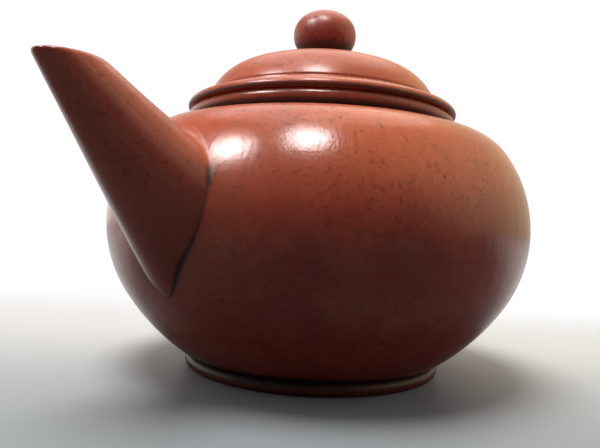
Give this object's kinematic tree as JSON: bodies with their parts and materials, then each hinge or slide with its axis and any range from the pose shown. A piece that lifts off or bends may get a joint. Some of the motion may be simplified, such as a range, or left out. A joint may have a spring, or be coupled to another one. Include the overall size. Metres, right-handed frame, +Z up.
{
  "type": "clay teapot",
  "caption": "Small clay teapot: flattened globe pot with a straight tapered spout, ear handle and foot ring, and a lift-off domed lid with a flattened ball knob.",
  "frame": {"origin": "middle of the foot ring, on the table", "axes": "+Z up, along the axis of the pot and lid; +X towards the handle and -X towards the spout"},
  "size_m": [0.1326, 0.0854, 0.0753],
  "materials": {
    "clay": "unglazed red-brown clay, burnished to a soft gloss"
  },
  "bodies": {
    "pot": {"base_disc": "clay", "foot_ring": "clay", "body_wall": "clay", "strainer": "clay", "shoulder": "clay", "mouth_ring": "clay", "spout": "clay", "handle": "clay"},
    "lid": {"lid_cover": "clay", "lid_rim": "clay", "lid_flange": "clay", "knob": "clay"}
  },
  "joints": [
    {"name": "lid_lift", "type": "slide", "parent": "pot", "child": "lid", "axis": [0, 0, 1], "range_m": [0, 0.06]}
  ]
}
